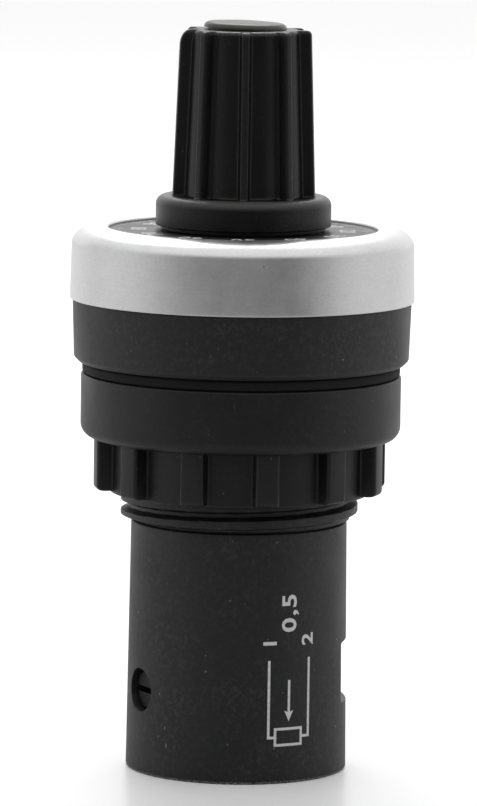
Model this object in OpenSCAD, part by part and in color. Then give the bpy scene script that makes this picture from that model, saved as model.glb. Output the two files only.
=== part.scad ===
// Rotary potentiometer for a control panel. It stands on its terminal end with the knob up.
// Base on z = 0, knob axis along +Z, front towards -Y. Sizes in millimetres.

/* [Housing] */
// height of the terminal housing up to the thread
housing_h = 21.8; // [20:0.1:26]
// housing diameter at the foot
housing_foot_d = 19.3; // [19:0.1:20.4]
// housing diameter at its upper edge
housing_top_d = 18.84; // [18.6:0.02:19.6]
// inner diameter of the housing and the sleeve
inner_d = 16.4; // [16.3:0.05:16.6]
// chamfer on the housing's upper edge
housing_chamfer = 0.25; // [0.1:0.05:0.4]
// height of the screw holes and the clamps above the foot
clamp_z = 7.3; // [7:0.1:7.8]
// diameter of the screw holes
screw_hole_d = 3.7; // [3.3:0.1:3.9]
// width of the latch window
window_w = 5.8; // [5:0.1:6.4]
// height of the latch window
window_h = 5.2; // [4.4:0.1:5.6]
// lower edge of the latch window above the foot
window_z = 6.2; // [5.8:0.1:6.6]

/* [Thread and flange] */
// height of the relief groove between housing and thread
relief_h = 0.25; // [0.2:0.05:1]
// diameter of the relief groove
relief_d = 18; // [17.8:0.1:18.4]
// outer diameter of the thread
thread_d = 20.7; // [20.6:0.05:21]
// how far the head flange stands back from the bezel, in radius
flange_inset = 0.25; // [0.2:0.01:0.3]
// how far the head flange narrows downwards, in radius
flange_taper = 0.16; // [0:0.01:0.25]
// height of the head flange below the bezel
flange_h = 5.5; // [4.5:0.1:7]
// chamfer under the head flange
flange_chamfer = 0.45; // [0.2:0.05:0.7]
// thickness of the deck that carries the potentiometer
deck_t = 1.48; // [1.2:0.02:1.6]

/* [Gasket and nut] */
// thickness of the panel gasket
gasket_t = 1; // [0.8:0.1:1.6]
// outer diameter of the panel gasket
gasket_d = 27.8; // [26:0.1:28.4]
// gap in radius between the thread and the rings on it
thread_play = 0.06; // [0.05:0.01:0.09]
// thread seen between the housing and the nut
thread_seen = 2.5; // [2:0.1:4]
// height of the nut
nut_h = 10.35; // [8.5:0.05:12]
// diameter of the nut's smooth flange
nut_flange_d = 27.9; // [27.4:0.1:28.4]
// height of the nut's ribbed grip
nut_grip_h = 4.75; // [3.6:0.05:5]
// radius of the rounded edge under the nut's flange
nut_round = 1.2; // [0.8:0.1:1.4]
// diameter of the grip between its ribs
nut_root_d = 22.9; // [22.4:0.1:23.6]
// diameter over the grip's ribs
nut_rib_d = 25.66; // [25:0.02:26]
// width of one grip rib
nut_rib_w = 2.1; // [1.6:0.1:2.6]
// number of grip ribs
nut_ribs = 12; // [10:1:14]
// turn of the ribs from the axis
nut_rib_turn = 11; // [0:1:29]

/* [Bezel and dial] */
// outer diameter of the bezel
bezel_d = 30; // [29:0.1:32]
// height of the bezel
bezel_h = 6.3; // [6.1:0.05:6.8]
// wall of the bezel
bezel_wall = 0.5; // [0.4:0.02:0.5]
// how far the bezel narrows up to its shoulder, in radius
bezel_taper = 0.12; // [0:0.02:0.15]
// height of the bezel's rounded shoulder
shoulder_h = 1.5; // [1.3:0.05:1.6]
// width of the bezel's rounded shoulder
shoulder_w = 2.3; // [2.1:0.05:2.4]
// width of the bezel's lip inside its crest
lip_w = 0.86; // [0.6:0.02:1.2]
// depth of the dial below the bezel's crest
dial_depth = 0.3; // [0.25:0.01:0.4]
// thickness of the dial plate
dial_t = 0.8; // [0.6:0.05:1]
// how far the dial plate reaches under the bezel's crest, in radius
dial_reach = 0.02; // [0:0.01:0.05]
// gap in radius between the lock washer and the dial plate
dial_gap = 0.9; // [0.6:0.05:1.1]
// play in radius between fixed parts that plug together
plug_play = 0.05; // [0.03:0.01:0.08]

/* [Knob] */
// gap between the bezel's crest and the knob's skirt
knob_lift = 0.15; // [0.1:0.05:0.5]
// height of the knob with its skirt
knob_h = 16.8; // [16.4:0.1:19]
// diameter of the skirt
skirt_d = 15.26; // [15:0.02:15.8]
// height of the skirt
skirt_h = 2.4; // [2.2:0.1:2.8]
// rounding on the skirt's upper edge
skirt_round = 0.45; // [0.3:0.05:0.5]
// diameter over the grip's ribs above the skirt
grip_low_d = 12.54; // [12.3:0.02:12.8]
// diameter over the grip's ribs at the top
grip_top_d = 11.5; // [11.2:0.02:11.9]
// rounding on the ribs' upper edge
grip_round = 0.45; // [0.3:0.05:0.6]
// rounding on the upper edge between the ribs
core_round = 0.25; // [0.1:0.05:0.4]
// depth of the grooves between the ribs
groove_depth = 1; // [0.7:0.05:1.1]
// number of ribs on the grip
grip_ribs = 9; // [6:1:10]
// width of one rib on the grip
grip_rib_w = 1.1; // [0.9:0.05:1.4]
// height of the rim inside the skirt's foot
rim_h = 0.33; // [0.2:0.01:0.35]
// height of the cap above the knob
cap_h = 0.95; // [0.7:0.05:1.5]
// diameter of the cap at its foot
cap_d = 7.24; // [6.9:0.02:7.6]
// diameter of the cap at its top
cap_top_d = 6.5; // [6.2:0.02:6.8]
// depth of the recess under the cap
cap_recess = 3.2; // [3:0.1:3.4]
// diameter of the recess under the cap
recess_d = 6.6; // [6.6:0.02:6.8]
// length of the cap's plug
plug_h = 1.4; // [1.2:0.1:1.4]

/* [Shaft and collet] */
// diameter of the potentiometer's shaft
shaft_d = 6; // [5.9:0.05:6.1]
// gap in radius between the shaft and its bushing
shaft_play = 0.04; // [0.02:0.01:0.06]
// gap between the shaft's top and the collet's roof
shaft_gap = 0.1; // [0.05:0.05:0.5]
// thickness of the collet's roof
collet_roof = 0.7; // [0.5:0.1:0.9]
// wall of the collet at its foot
collet_low_wall = 0.95; // [0.85:0.05:1]
// wall of the collet at its roof
collet_top_wall = 0.6; // [0.5:0.05:0.7]
// diameter of the collet's threaded stub
stub_d = 4.4; // [4:0.1:4.6]
// thickness of the knob's web between collet and nut
web_t = 1; // [0.8:0.1:1.2]
// width of the collet's slots
slot_w = 0.6; // [0.4:0.1:0.8]
// height of the collet nut
collet_nut_h = 1.5; // [1.2:0.1:1.5]
// width of the collet nut across its flats
collet_nut_af = 5.6; // [5.4:0.05:5.65]
// thickness of the shaft's clip
clip_t = 0.4; // [0.3:0.05:0.4]
// outer diameter of the shaft's clip
clip_d = 8.4; // [7.6:0.1:8.6]
// diameter of the shaft in the clip's groove
groove_d = 5; // [4.6:0.1:5.2]

/* [Potentiometer] */
// outer diameter of the bushing's thread
bushing_d = 7; // [6.8:0.05:7.1]
// height of the bushing above the deck
bushing_rise = 2.52; // [2.3:0.02:2.6]
// thickness of the bushing's plate
plate_t = 0.8; // [0.6:0.1:0.9]
// diameter of the bushing's plate
plate_d = 13.8; // [13.2:0.1:13.9]
// thickness of the lock washer
washer_t = 0.4; // [0.3:0.05:0.4]
// outer diameter of the lock washer
washer_d = 10.8; // [10:0.1:11]
// height of the bushing's nut
pot_nut_h = 1.7; // [1.4:0.1:1.8]
// width of the bushing's nut across its flats
pot_nut_af = 9.6; // [9:0.1:9.8]
// thickness of the track board
wafer_t = 1.1; // [1:0.05:1.3]
// diameter of the track board
wafer_d = 14.5; // [14.4:0.02:14.6]
// diameter of the hole in the track board
wafer_hole_d = 8.4; // [8.3:0.02:8.5]
// reach of the board's tab past its round edge
tab_reach = 0.8; // [0.75:0.01:0.85]
// width of the board's tab
tab_w = 9.6; // [9.4:0.1:10]
// thickness of the printed tracks
track_t = 0.1; // [0.08:0.01:0.12]
// inner radius of the resistive track
track_in = 5.5; // [5.4:0.05:5.6]
// width of the resistive track
track_w = 1; // [0.8:0.05:1]
// gap angle of the resistive track
track_gap = 50; // [40:1:60]
// inner radius of the collector ring
collector_in = 4.5; // [4.4:0.02:4.6]
// width of the collector ring
collector_w = 0.6; // [0.5:0.05:0.7]
// depth of the can below the board
can_h = 5.3; // [5.2:0.1:6]
// wall of the can
can_wall = 0.3; // [0.2:0.02:0.3]
// diameter of the rotor
rotor_d = 12.2; // [11.8:0.1:12.4]
// thickness of the rotor's disc
rotor_t = 1.8; // [1.6:0.1:2]
// gap between the can's floor and the rotor
rotor_gap = 0.7; // [0.4:0.1:1]
// reach of the rotor's stop lug from the axis
lug_reach = 6.6; // [6.5:0.02:6.65]
// width of the stop lug and of the can's stop
stop_w = 1.8; // [1.4:0.1:2.4]
// diameter of the rotor's hub
hub_d = 7.2; // [6.8:0.1:7.4]
// diameter of the shaft inside the rotor
tail_d = 4.8; // [4.4:0.1:5]
// diameter of the shaft's shoulder
shoulder_d = 7.8; // [7.4:0.1:7.9]
// thickness of the wiper's sheet
wiper_t = 0.2; // [0.15:0.01:0.25]
// gap between the wiper and the tracks
wiper_gap = 0.03; // [0.02:0.01:0.05]
// thickness of the solder tags
tag_t = 0.4; // [0.3:0.05:0.4]
// width of the solder tags
tag_w = 1.4; // [1.2:0.1:1.6]
// length of the solder tags below the board
tag_h = 8; // [7:0.1:9]
// angle between two solder tags
tag_turn = 28; // [24:1:30]
// diameter of the inner wires
lead_d = 1.1; // [0.9:0.05:1.2]

/* [Terminals] */
// recess of the terminal insert above the foot
insert_rise = 0.8; // [0.4:0.1:1]
// height of the terminal insert
insert_h = 12; // [11.4:0.1:13]
// diameter of the wire entries
entry_d = 2.3; // [2:0.05:2.35]
// width of one box terminal
box_w = 4.2; // [4:0.05:4.2]
// inner face of the box terminals from the axis
box_in = 2.95; // [2.9:0.01:3]
// outer face of the box terminals from the axis
box_out = 7.2; // [7.1:0.02:7.2]
// height of the box terminals
box_h = 6.6; // [6.2:0.1:6.8]
// side wall of the box terminals
box_wall = 0.6; // [0.5:0.05:0.7]
// threaded wall of the box terminals
box_front = 0.8; // [0.7:0.05:0.9]
// height of the solder tongue on a box terminal
tongue_h = 3.3; // [3:0.1:3.6]
// width of the solder tongue
tongue_w = 1.8; // [1.4:0.1:2]
// diameter of the terminal screws
screw_d = 3; // [2.8:0.05:3.1]
// length of the terminal screws
screw_l = 2.65; // [2.4:0.05:2.8]
// depth of the slot in the terminal screws
screw_slot = 0.8; // [0.6:0.05:1]
// thickness of the clamp plates
clamp_t = 0.45; // [0.4:0.05:0.5]
// width of the clamp plates
clamp_w = 2.7; // [2.4:0.05:2.8]
// height of the clamp plates
clamp_h = 3.2; // [2.8:0.1:3.6]
// recess of the latch below the housing's surface
latch_sunk = 0.43; // [0.3:0.01:0.6]

/* [Hidden] */
$fn = 96;
eps = 0.01;
turns = [-152, 118, 33];
inner_r = inner_d / 2;
flange_r = bezel_d / 2 - flange_inset;
crest_r = bezel_d / 2 - bezel_taper - shoulder_w;
dial_hole_r = washer_d / 2 + dial_gap;
wafer_tab_r = wafer_d / 2 + tab_reach;
z_thread = housing_h + relief_h;
z_nut = housing_h + thread_seen;
z_gasket = z_nut + nut_h;
z_flange = z_gasket + gasket_t;
z_bezel = z_flange + flange_h;
z_crest = z_bezel + bezel_h;
z_dial = z_crest - dial_depth;
z_deck = z_dial - dial_t;
z_plate = z_deck - deck_t;
z_wafer = z_plate - plate_t;
z_track = z_wafer - wafer_t;
z_can = z_track - can_h;
z_rotor = z_can + can_wall + rotor_gap;
z_wiper = z_rotor + rotor_t;
z_knob = z_crest + knob_lift;
z_top = z_knob + knob_h;
z_bush = z_deck + bushing_rise;
z_clip = z_bush + plug_play;
z_recess = z_top - cap_recess;
z_roof = z_recess - web_t;
z_shaft = z_roof - collet_roof - shaft_gap;
z_collet = z_clip + clip_t + 0.5;
z_box = clamp_z - box_h / 2;
z_insert = insert_rise + insert_h;
shaft_r = shaft_d / 2;
clamp_out = box_out - box_front - plug_play;
tag_in = wafer_d / 2 + 0.2;
tag_mid = turns[1];
grip_z = z_knob + skirt_h;

// points of a quarter round from the wall at (r, z) inwards by w and up by h
function quarter(r, z, w, h, n) = [for (i = [0:n]) [r - w + w * cos(90 * i / n), z + h * sin(90 * i / n)]];

module ring(ro, ri, z, h) {
    translate([0, 0, z]) difference() {
        cylinder(h = h, r = ro);
        translate([0, 0, -1]) cylinder(h = h + 2, r = ri);
    }
}

// knob: skirt, tapered grip with ribs, hollow for the nut, taper for the collet, recess for the cap
module knob() {
    color([0.1, 0.1, 0.11]) difference() {
        union() {
            rotate_extrude() polygon(concat(
                [[0, z_knob - rim_h], [skirt_d / 2 - 0.5, z_knob - rim_h], [skirt_d / 2 - 0.5, z_knob],
                [skirt_d / 2 - 0.15, z_knob], [skirt_d / 2, z_knob + 0.15]],
                quarter(skirt_d / 2, grip_z - skirt_round, skirt_round, skirt_round, 4),
                [[grip_low_d / 2 - groove_depth, grip_z]],
                quarter(grip_top_d / 2 - groove_depth, z_top - core_round, core_round, core_round, 3),
                [[0, z_top]]));
            intersection() {
                rotate_extrude() polygon(concat([[0, grip_z - eps], [grip_low_d / 2, grip_z - eps]],
                    quarter(grip_top_d / 2, z_top - grip_round, grip_round, grip_round, 4), [[0, z_top]]));
                for (i = [0:grip_ribs - 1]) rotate([0, 0, -90 + i * 360 / grip_ribs])
                    translate([recess_d / 2 + 0.7, -grip_rib_w / 2, grip_z - eps]) cube([6, grip_rib_w, knob_h]);
            }
        }
        translate([0, 0, z_knob - 1]) cylinder(h = 2.3, r = dial_hole_r + 0.1);
        translate([0, 0, z_knob - 1]) cylinder(h = z_collet - z_knob + 1, r = clip_d / 2 + 0.6);
        translate([0, 0, z_collet - eps]) cylinder(h = z_roof - z_collet + eps,
            r1 = shaft_r + collet_low_wall, r2 = shaft_r + collet_top_wall);
        translate([0, 0, z_roof - 1]) cylinder(h = web_t + 2, d = stub_d);
        translate([0, 0, z_recess]) cylinder(h = cap_recess + 1, d = recess_d);
    }
}

// cap with its plug
module knob_cap() {
    color([0.35, 0.35, 0.3]) rotate_extrude() polygon(concat(
        [[0, z_top - plug_h], [recess_d / 2 - plug_play, z_top - plug_h], [recess_d / 2 - plug_play, z_top],
        [cap_d / 2, z_top]],
        quarter(cap_d / 2, z_top + cap_h * 0.35, (cap_d - cap_top_d) / 2, cap_h * 0.65, 4),
        [[0, z_top + cap_h]]));
}

// split collet with its threaded stub
module knob_collet() {
    color([0.8, 0.65, 0.3]) difference() {
        union() {
            translate([0, 0, z_collet]) cylinder(h = z_roof - z_collet,
                r1 = shaft_r + collet_low_wall, r2 = shaft_r + collet_top_wall);
            translate([0, 0, z_roof - eps]) cylinder(h = web_t + collet_nut_h + 0.2, d = stub_d);
        }
        translate([0, 0, z_collet - 1]) cylinder(h = z_shaft + shaft_gap - z_collet + 1, d = shaft_d);
        for (a = [0, 120, 240]) rotate([0, 0, a])
            translate([0, -slot_w / 2, z_collet - 1]) cube([6, slot_w, (z_roof - z_collet) * 0.7 + 1]);
    }
}

module hexnut(af, bore, z, h) {
    translate([0, 0, z]) difference() {
        cylinder(h = h, d = af / cos(30), $fn = 6);
        translate([0, 0, -1]) cylinder(h = h + 2, d = bore);
    }
}

module collet_nut() { color([0.75, 0.75, 0.72]) hexnut(collet_nut_af, stub_d, z_recess, collet_nut_h); }

// shaft with tail, shoulder and clip groove
module pot_shaft() {
    color([0.75, 0.7, 0.5]) rotate_extrude() polygon([[0, z_rotor], [tail_d / 2, z_rotor],
        [tail_d / 2, z_track + 0.2], [shoulder_d / 2, z_track + 0.2], [shoulder_d / 2, z_wafer - plug_play],
        [shaft_r, z_wafer - plug_play], [shaft_r, z_clip], [groove_d / 2, z_clip], [groove_d / 2, z_clip + clip_t],
        [shaft_r, z_clip + clip_t], [shaft_r, z_shaft - 0.4], [shaft_r - 0.4, z_shaft], [0, z_shaft]]);
}

module shaft_clip() {
    color([0.5, 0.5, 0.5]) difference() {
        ring(clip_d / 2, groove_d / 2, z_clip, clip_t);
        translate([0, -groove_d * 0.4, z_clip - 1]) cube([10, groove_d * 0.8, 3]);
    }
}

module dial_plate() { color([0.2, 0.2, 0.22]) ring(crest_r + dial_reach, dial_hole_r, z_deck, dial_t); }

// turned shell: wall, rounded shoulder, crest and lip
module bezel() {
    r = bezel_d / 2;
    zs = z_crest - shoulder_h;
    ri = r - bezel_taper;
    lip = crest_r - lip_w;
    color([0.8, 0.8, 0.8]) rotate_extrude() polygon(concat(
        [[r - bezel_wall, z_bezel], [r, z_bezel]],
        quarter(ri, zs, shoulder_w, shoulder_h, 7),
        [[lip + 0.3, z_crest - 0.04], [lip, z_crest - 0.14], [lip, z_dial], [crest_r, z_dial]],
        [for (i = [6:-1:0]) [crest_r + (shoulder_w - bezel_wall) * cos(15 * i),
            zs + (shoulder_h - dial_depth) * sin(15 * i)]]));
}

// one moulding: housing, threaded sleeve, head flange and deck
module barrel() {
    rh = bezel_d / 2 - bezel_wall - plug_play;
    color([0.12, 0.12, 0.13]) difference() {
        rotate_extrude() polygon([[inner_r, 0], [housing_foot_d / 2, 0],
            [housing_top_d / 2, housing_h - housing_chamfer], [housing_top_d / 2 - housing_chamfer, housing_h],
            [relief_d / 2, housing_h], [relief_d / 2, z_thread], [thread_d / 2 - 0.9, z_thread],
            [thread_d / 2, z_thread + 0.5], [thread_d / 2, z_flange],
            [flange_r - flange_taper - flange_chamfer, z_flange],
            [flange_r - flange_taper, z_flange + flange_chamfer], [flange_r, z_bezel], [rh, z_bezel],
            [rh - bezel_taper, z_crest - shoulder_h - 0.5], [rh - 1, z_deck], [bushing_d / 2 + 0.06, z_deck],
            [bushing_d / 2 + 0.06, z_plate], [inner_r, z_plate]]);
        for (a = turns) rotate([0, 0, a]) translate([inner_r - 1, 0, clamp_z]) rotate([0, 90, 0])
            cylinder(h = 4, d = screw_hole_d);
        translate([inner_r - 1, -window_w / 2, window_z]) cube([4, window_w, window_h]);
    }
}

module panel_gasket() {
    color([0.08, 0.08, 0.08]) ring(gasket_d / 2, thread_d / 2 + thread_play, z_gasket, gasket_t);
}

// smooth flange with a rounded lower edge above a ribbed grip
module lock_nut() {
    zf = z_nut + nut_grip_h;
    rf = nut_flange_d / 2;
    color([0.12, 0.12, 0.13]) difference() {
        union() {
            rotate_extrude() polygon(concat([[0, z_nut], [nut_root_d / 2 - 0.2, z_nut], [nut_root_d / 2, z_nut + 0.2],
                [nut_root_d / 2, zf]],
                [for (i = [0:6]) [rf - nut_round + nut_round * sin(15 * i), zf + nut_round - nut_round * cos(15 * i)]],
                [[rf, z_gasket - 0.2], [rf - 0.2, z_gasket], [0, z_gasket]]));
            intersection() {
                translate([0, 0, z_nut]) cylinder(h = nut_grip_h + eps, d = nut_rib_d);
                for (i = [0:nut_ribs - 1]) rotate([0, 0, -90 + nut_rib_turn + i * 360 / nut_ribs])
                    translate([nut_root_d / 2 - 0.6, -nut_rib_w / 2, z_nut]) cube([4, nut_rib_w, nut_grip_h + eps]);
            }
        }
        translate([0, 0, z_nut - 1]) cylinder(h = nut_h + 2, r = thread_d / 2 + thread_play);
    }
}

// threaded bushing with its front plate
module pot_bushing() {
    color([0.7, 0.68, 0.6]) difference() {
        union() {
            translate([0, 0, z_wafer]) cylinder(h = plate_t, d = plate_d);
            translate([0, 0, z_wafer + eps]) cylinder(h = z_bush - z_wafer - eps, d = bushing_d);
        }
        translate([0, 0, z_wafer - 1]) cylinder(h = z_bush - z_wafer + 2, r = shaft_r + shaft_play);
    }
}

module pot_washer() { color([0.7, 0.7, 0.7]) ring(washer_d / 2, bushing_d / 2, z_deck, washer_t); }

module pot_nut() { color([0.75, 0.75, 0.72]) hexnut(pot_nut_af, bushing_d, z_deck + washer_t, pot_nut_h); }

// board with a tab for the solder tags
module track_wafer() {
    color([0.55, 0.35, 0.2]) difference() {
        union() {
            translate([0, 0, z_track]) cylinder(h = wafer_t, d = wafer_d);
            intersection() {
                translate([0, 0, z_track]) cylinder(h = wafer_t, r = wafer_tab_r);
                rotate([0, 0, tag_mid]) translate([4.6, -tab_w / 2, z_track]) cube([6, tab_w, wafer_t]);
            }
        }
        translate([0, 0, z_track - 1]) cylinder(h = wafer_t + 2, d = wafer_hole_d);
        for (i = [-1:1]) rotate([0, 0, tag_mid + i * tag_turn])
            translate([tag_in + tag_t / 2, 0, z_track - 1]) cylinder(h = wafer_t + 2, r = 0.25, $fn = 48);
    }
}

module resistive_track() {
    color([0.05, 0.05, 0.05]) difference() {
        ring(track_in + track_w, track_in, z_track - track_t, track_t);
        rotate([0, 0, tag_mid]) linear_extrude(height = 200, center = true)
            polygon([[0, 0], [20, -20 * tan(track_gap / 2)], [20, 20 * tan(track_gap / 2)]]);
    }
}

module collector_ring() {
    color([0.7, 0.7, 0.7]) ring(collector_in + collector_w, collector_in, z_track - track_t, track_t);
}

// rotor with hub and stop lug
module pot_rotor() {
    color([0.85, 0.82, 0.75]) difference() {
        union() {
            translate([0, 0, z_rotor]) cylinder(h = rotor_t, d = rotor_d);
            translate([0, 0, z_rotor + eps]) cylinder(h = z_track - z_rotor - 0.3, d = hub_d);
            intersection() {
                translate([0, 0, z_rotor]) cylinder(h = rotor_t, r = lug_reach);
                rotate([0, 0, tag_mid + 180]) translate([4, -stop_w / 2, z_rotor]) cube([4, stop_w, rotor_t]);
            }
        }
        translate([0, 0, z_rotor - 1]) cylinder(h = z_track - z_rotor + 2, d = tail_d);
    }
}

// one bent finger of the wiper, rising from the ring to a track at radius r
module finger(r, w) {
    zt = z_track - track_t - wiper_gap;
    translate([r + w / 2, 0, 0]) rotate([90, 0, -90]) linear_extrude(height = w) polygon([[-1.2, z_wiper],
        [0.3, z_wiper], [2.2, zt - 0.5], [2.7, zt - wiper_t], [3.1, zt - 0.4], [3.3, zt - 0.3], [2.8, zt],
        [2.5, zt], [2, zt - 0.35], [0.1, z_wiper + wiper_t], [-1.2, z_wiper + wiper_t]]);
}

module wiper_contact() {
    color([0.85, 0.75, 0.4]) rotate([0, 0, tag_mid + 180]) union() {
        ring(track_in + 0.4, hub_d / 2, z_wiper, wiper_t);
        finger(collector_in + collector_w / 2 - 0.05, 0.5);
        finger(track_in + track_w / 2 - 0.2, 0.5);
    }
}

// can with an inward stop
module pot_cover() {
    rc = wafer_d / 2;
    color([0.78, 0.78, 0.78]) union() {
        difference() {
            translate([0, 0, z_can]) cylinder(h = can_h, r = rc);
            translate([0, 0, z_can + can_wall]) cylinder(h = can_h, r = rc - can_wall);
        }
        intersection() {
            ring(rc - can_wall / 2, rotor_d / 2 + 0.2, z_rotor, rotor_t);
            rotate([0, 0, tag_mid]) translate([5, -stop_w / 2, z_rotor]) cube([4, stop_w, rotor_t]);
        }
    }
}

// solder tag with a pin through the board
module tag(i) {
    color([0.8, 0.8, 0.78]) rotate([0, 0, tag_mid + (i - 2) * tag_turn]) union() {
        translate([tag_in, -tag_w / 2, z_track - tag_h]) cube([tag_t, tag_w, tag_h]);
        translate([tag_in + tag_t / 2, 0, z_track - eps]) cylinder(h = wafer_t + eps, r = 0.25, $fn = 48);
    }
}

module pot_tag_1() { tag(1); }
module pot_tag_2() { tag(2); }
module pot_tag_3() { tag(3); }

module rod(a, b, r) {
    v = b - a;
    l = norm(v);
    translate(a) rotate([0, acos(v[2] / l), atan2(v[1], v[0])]) cylinder(h = l, r = r, $fn = 48);
}

// wire: down from a tag, across and down to a box terminal's tongue
module lead(i, turn) {
    ta = tag_mid + (i - 2) * tag_turn;
    ra = tag_in - lead_d / 2 + eps;
    rb = box_in + box_wall + lead_d / 2 - eps;
    zt = z_track - tag_h;
    p0 = [ra * cos(ta), ra * sin(ta), zt + 1.6];
    p1 = [ra * cos(ta), ra * sin(ta), zt - 1.5];
    p2 = [rb * cos(turn), rb * sin(turn), z_box + box_h + tongue_h + 2];
    p3 = [rb * cos(turn), rb * sin(turn), z_box + box_h + tongue_h - 1.8];
    color([0.6, 0.1, 0.1]) union() {
        rod(p0, p1, lead_d / 2);
        rod(p1, p2, lead_d / 2);
        rod(p2, p3, lead_d / 2);
        translate(p1) sphere(r = lead_d * 0.53, $fn = 48);
        translate(p2) sphere(r = lead_d * 0.53, $fn = 48);
    }
}

module lead_1() { lead(1, turns[2]); }
module lead_2() { lead(2, turns[1]); }
module lead_3() { lead(3, turns[0]); }

// insert with pockets for the box terminals, wire entries and the latch
module terminal_base() {
    hw = box_w / 2 + plug_play;
    u = (box_in + box_wall + clamp_out - clamp_t) / 2;
    color([0.16, 0.16, 0.17]) difference() {
        union() {
            translate([0, 0, insert_rise]) cylinder(h = insert_h, r = inner_r - plug_play);
            translate([inner_r - 1, -window_w / 2 + 0.1, window_z + 0.1])
                cube([housing_top_d / 2 - latch_sunk - inner_r + 1, window_w - 0.2, window_h - 0.2]);
        }
        for (a = turns) rotate([0, 0, a]) {
            translate([box_in - plug_play, -hw, z_box - 0.05])
                cube([box_out - box_in + 2 * plug_play, 2 * hw, insert_h]);
            translate([box_out - 1, 0, clamp_z]) rotate([0, 90, 0]) cylinder(h = 6, d = screw_hole_d);
            translate([u, 0, 0]) cylinder(h = z_box + 1, d = entry_d, $fn = 48);
            translate([u, 0, insert_rise - eps]) cylinder(h = 0.8, d1 = entry_d + 1.2, d2 = entry_d - eps, $fn = 48);
        }
    }
}

// brass box open above and below, threaded front wall, solder tongue
module box_terminal(turn) {
    color([0.8, 0.65, 0.3]) rotate([0, 0, turn]) difference() {
        union() {
            translate([box_in, -box_w / 2, z_box]) cube([box_out - box_in, box_w, box_h]);
            translate([box_in, -tongue_w / 2, z_box + box_h - eps]) cube([box_wall, tongue_w, tongue_h + eps]);
        }
        translate([box_in + box_wall, -box_w / 2 + box_wall, z_box - 1])
            cube([box_out - box_in - box_wall - box_front, box_w - 2 * box_wall, box_h + 2]);
        translate([box_out - box_front - 0.5, 0, clamp_z]) rotate([0, 90, 0])
            cylinder(h = 3, r = screw_d / 2 + shaft_play);
    }
}

module terminal_1() { box_terminal(turns[0]); }
module terminal_2() { box_terminal(turns[1]); }
module terminal_3() { box_terminal(turns[2]); }

module clamp_plate(turn) {
    color([0.75, 0.75, 0.72]) rotate([0, 0, turn])
        translate([clamp_out - clamp_t, -clamp_w / 2, clamp_z - clamp_h / 2]) cube([clamp_t, clamp_w, clamp_h]);
}

module clamp_plate_1() { clamp_plate(turns[0]); }
module clamp_plate_2() { clamp_plate(turns[1]); }
module clamp_plate_3() { clamp_plate(turns[2]); }

// headless screw with a slot
module terminal_screw(turn) {
    color([0.75, 0.75, 0.72]) rotate([0, 0, turn]) difference() {
        translate([clamp_out, 0, clamp_z]) rotate([0, 90, 0]) cylinder(h = screw_l, d = screw_d);
        translate([clamp_out + screw_l - screw_slot, -screw_d, clamp_z - 0.25]) cube([2, screw_d * 2, 0.5]);
    }
}

module terminal_screw_1() { terminal_screw(turns[0]); }
module terminal_screw_2() { terminal_screw(turns[1]); }
module terminal_screw_3() { terminal_screw(turns[2]); }

knob();
knob_cap();
knob_collet();
collet_nut();
pot_shaft();
shaft_clip();
dial_plate();
bezel();
barrel();
panel_gasket();
lock_nut();
pot_bushing();
pot_washer();
pot_nut();
track_wafer();
resistive_track();
collector_ring();
pot_rotor();
wiper_contact();
pot_cover();
pot_tag_1();
pot_tag_2();
pot_tag_3();
lead_1();
lead_2();
lead_3();
terminal_base();
terminal_1();
terminal_2();
terminal_3();
clamp_plate_1();
clamp_plate_2();
clamp_plate_3();
terminal_screw_1();
terminal_screw_2();
terminal_screw_3();
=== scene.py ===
import math

import bmesh
import bpy
import numpy as np
from mathutils import Matrix, Vector


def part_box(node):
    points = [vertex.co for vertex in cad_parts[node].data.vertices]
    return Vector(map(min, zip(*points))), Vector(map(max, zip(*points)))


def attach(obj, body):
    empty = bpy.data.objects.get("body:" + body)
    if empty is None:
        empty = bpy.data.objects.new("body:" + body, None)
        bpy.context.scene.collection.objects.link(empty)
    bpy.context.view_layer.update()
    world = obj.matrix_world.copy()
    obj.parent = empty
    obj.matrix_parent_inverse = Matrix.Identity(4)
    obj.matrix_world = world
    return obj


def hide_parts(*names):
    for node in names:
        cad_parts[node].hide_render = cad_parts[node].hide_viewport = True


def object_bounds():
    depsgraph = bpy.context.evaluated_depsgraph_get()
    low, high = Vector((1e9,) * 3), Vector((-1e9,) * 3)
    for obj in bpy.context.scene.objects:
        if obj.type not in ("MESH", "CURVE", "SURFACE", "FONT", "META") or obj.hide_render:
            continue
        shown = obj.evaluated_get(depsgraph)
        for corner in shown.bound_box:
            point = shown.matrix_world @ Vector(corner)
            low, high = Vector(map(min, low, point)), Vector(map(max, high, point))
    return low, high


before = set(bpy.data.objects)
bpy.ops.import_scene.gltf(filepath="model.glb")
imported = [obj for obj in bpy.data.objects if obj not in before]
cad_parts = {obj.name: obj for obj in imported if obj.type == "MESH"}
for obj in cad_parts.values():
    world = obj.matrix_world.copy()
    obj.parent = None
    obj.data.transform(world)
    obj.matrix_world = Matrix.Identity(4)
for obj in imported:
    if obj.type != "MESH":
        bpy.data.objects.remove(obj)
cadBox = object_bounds()
print("frame loaded")

mm = 0.001
turn = 2 * math.pi


# heights in mm, read off the frame
def low(node):
    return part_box(node)[0][2] / mm


def high(node):
    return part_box(node)[1][2] / mm


seat = {
    "flange": high("panel_gasket"),
    "bezelFoot": low("bezel"),
    "crest": high("bezel"),
    "deck": low("dial_plate"),
    "dial": high("dial_plate"),
    "nutFoot": low("lock_nut"),
    "nutTop": high("lock_nut"),
    "skirtFoot": low("knob"),
    "knobTop": high("knob") + 0.2,    # the ribs rise a little over their solid, up to the cap's neck
}


# Shapes

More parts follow.
